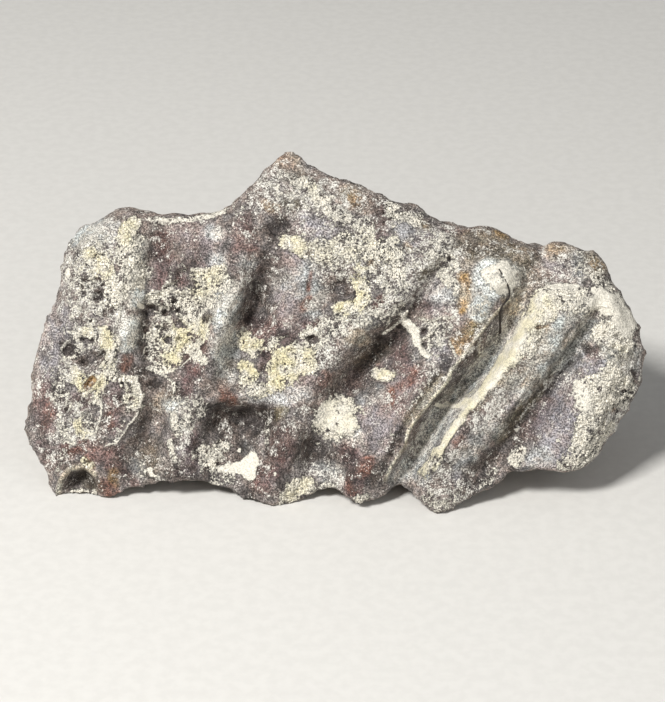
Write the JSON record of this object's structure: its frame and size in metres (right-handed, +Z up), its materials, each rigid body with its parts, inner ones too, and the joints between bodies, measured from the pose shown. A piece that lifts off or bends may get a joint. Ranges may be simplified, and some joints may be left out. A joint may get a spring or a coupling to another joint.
{
  "type": "fossil amphibian scute",
  "caption": "Broken plate of fossil dermal armour bone with slanting ridges, grooves and pits on its leaning outer face and a smooth inner side; stands loose on its broken base.",
  "frame": {"origin": "middle of the bounding box, at floor level", "axes": "+X to the right along the fragment's length, +Z up, the ridged face leans back 30 degrees and looks along -Y and up"},
  "size_m": [0.0626, 0.023, 0.0307],
  "materials": {
    "fossil_bone": "matte mineralised bone, mauve grey with cream granular crust"
  },
  "bodies": {
    "root": {"scute": "fossil_bone"}
  },
  "joints": []
}
